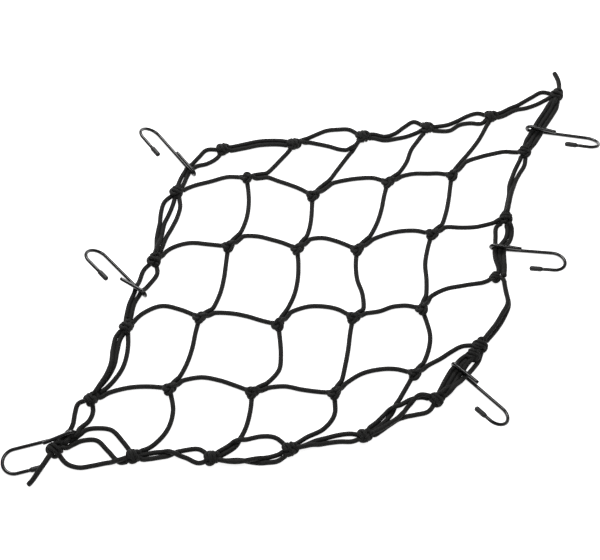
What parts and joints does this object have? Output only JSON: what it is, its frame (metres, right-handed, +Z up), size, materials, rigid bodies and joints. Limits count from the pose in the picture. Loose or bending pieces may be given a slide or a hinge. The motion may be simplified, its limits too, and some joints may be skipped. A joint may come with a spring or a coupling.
{
  "type": "cargo net",
  "caption": "Square knotted net of black elastic cord with wire hooks on two opposite edges, laid out loose, for strapping a load to a rack or seat.",
  "frame": {"origin": "middle of the box of the net and its hooks, on the surface that the net lies on; the two loose cord ends aren't counted", "axes": "+X to the right along the mesh rows, the longest way; +Y to the far edge; +Z up, out of the surface"},
  "size_m": [0.6374, 0.4945, 0.0206],
  "materials": {
    "elastic_cord": "braided matt sheath over an elastic core",
    "hook_wire": "black coated steel wire, semi-gloss",
    "hook_tip": "dipped soft plastic, dull sheen"
  },
  "bodies": {
    "root": {"column_a1_b1": "elastic_cord", "column_a2_b2": "elastic_cord", "column_a3_b3": "elastic_cord", "column_a4_b4": "elastic_cord", "column_b1_c1": "elastic_cord", "column_b2_c2": "elastic_cord", "column_b3_c3": "elastic_cord", "column_b4_c4": "elastic_cord", "column_c1_d1": "elastic_cord", "column_c2_d2": "elastic_cord", "column_c3_d3": "elastic_cord", "column_c4_d4": "elastic_cord", "column_d1_u1": "elastic_cord", "column_d2_u2": "elastic_cord", "column_d3_u3": "elastic_cord", "column_d4_u4": "elastic_cord", "column_t2_a1": "elastic_cord", "column_t3_a2": "elastic_cord", "column_t4_a3": "elastic_cord", "column_t5_a4": "elastic_cord", "edge_bl_l3": "elastic_cord", "edge_l0_t1": "elastic_cord", "edge_l1_l0": "elastic_cord", "edge_l2_l1": "elastic_cord", "edge_l3_l2": "elastic_cord", "edge_r1_r2": "elastic_cord", "edge_r2_r3": "elastic_cord", "edge_r3_r4": "elastic_cord", "edge_r4_r5": "elastic_cord", "edge_r5_u4": "elastic_cord", "edge_t1_t2": "elastic_cord", "edge_t2_t3": "elastic_cord", "edge_t3_t4": "elastic_cord", "edge_t4_t5": "elastic_cord", "edge_t5_tr": "elastic_cord", "edge_tr_r1": "elastic_cord", "edge_u1_bl": "elastic_cord", "edge_u2_u1": "elastic_cord", "edge_u3_u2": "elastic_cord", "edge_u4_u3": "elastic_cord", "hook_left_far_tip": "hook_tip", "hook_left_far_wire": "hook_wire", "hook_left_mid_tip": "hook_tip", "hook_left_mid_wire": "hook_wire", "hook_left_near_tip": "hook_tip", "hook_left_near_wire": "hook_wire", "hook_right_far_tip": "hook_tip", "hook_right_far_wire": "hook_wire", "hook_right_mid_tip": "hook_tip", "hook_right_mid_wire": "hook_wire", "hook_right_near_tip": "hook_tip", "hook_right_near_wire": "hook_wire", "loose_end_left": "elastic_cord", "loose_end_right": "elastic_cord", "row_a": "elastic_cord", "row_b": "elastic_cord", "row_c": "elastic_cord", "row_d": "elastic_cord"}
  },
  "joints": []
}
